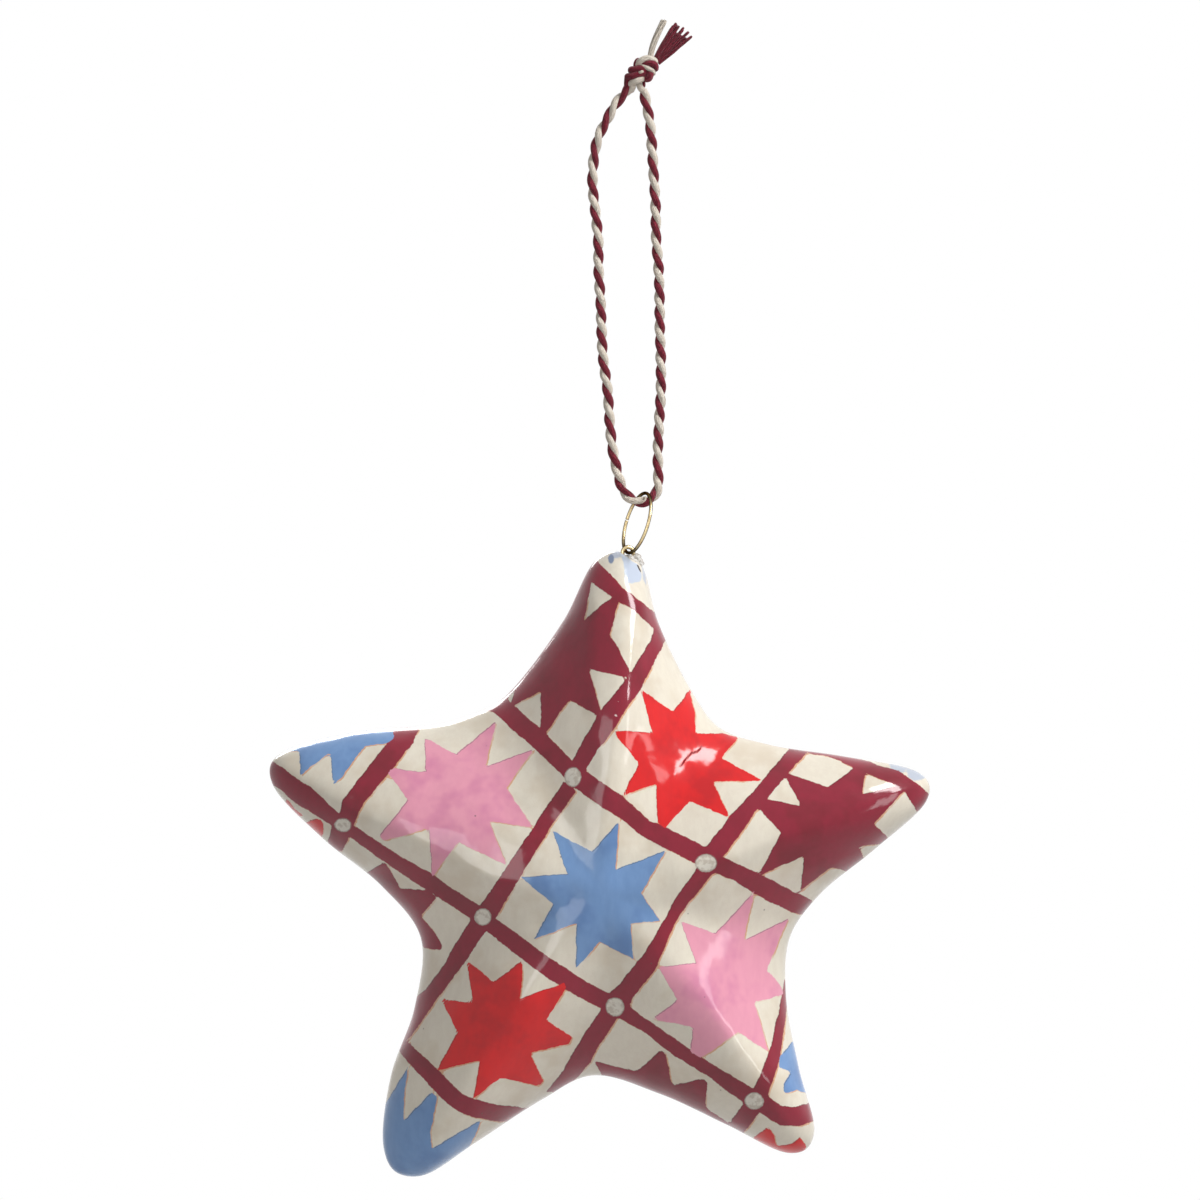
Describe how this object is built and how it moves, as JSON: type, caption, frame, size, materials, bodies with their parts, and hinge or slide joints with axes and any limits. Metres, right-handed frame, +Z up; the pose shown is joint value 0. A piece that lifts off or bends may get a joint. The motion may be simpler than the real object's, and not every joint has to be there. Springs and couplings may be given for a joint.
{
  "type": "star hanging decoration",
  "caption": "Puffy hollow five-pointed star with a painted patchwork pattern, hung by a wire eye and a jump ring on a loop of two-colour twine.",
  "frame": {"origin": "inside of the twine loop's top, where a hook or twig holds the ornament, in the plane where the star's two halves meet", "axes": "+Z up, with the star's weight straight under the origin; the painted front faces -Y; +X is to the right as the front is seen"},
  "size_m": [0.1146, 0.036, 0.2028],
  "materials": {
    "painted_star": "gloss",
    "paper_pulp": "matte",
    "brass_wire": "polished",
    "twine_burgundy": "matte",
    "twine_cream": "matte"
  },
  "bodies": {
    "cord": {"hanging_cord": "twine_burgundy", "cord_knot": "twine_burgundy", "cord_end_cream": "twine_cream", "cord_end_burgundy": "twine_burgundy"},
    "ring": {"jump_ring": "brass_wire"},
    "star": {"front_shell": "painted_star", "back_shell": "painted_star", "hanger_plug": "paper_pulp", "hanger_eye": "brass_wire"}
  },
  "joints": [
    {"name": "ring_swing", "type": "hinge", "parent": "cord", "child": "ring", "pos_m": [0.00445, 0, -0.07079], "axis": [0.9116, 0.342, -0.2281], "range_deg": [-90, 90]},
    {"name": "star_swing", "type": "hinge", "parent": "ring", "child": "star", "pos_m": [0.0022, 0, -0.07977], "axis": [0.3318, -0.9397, -0.083], "range_deg": [-85, 85]}
  ]
}
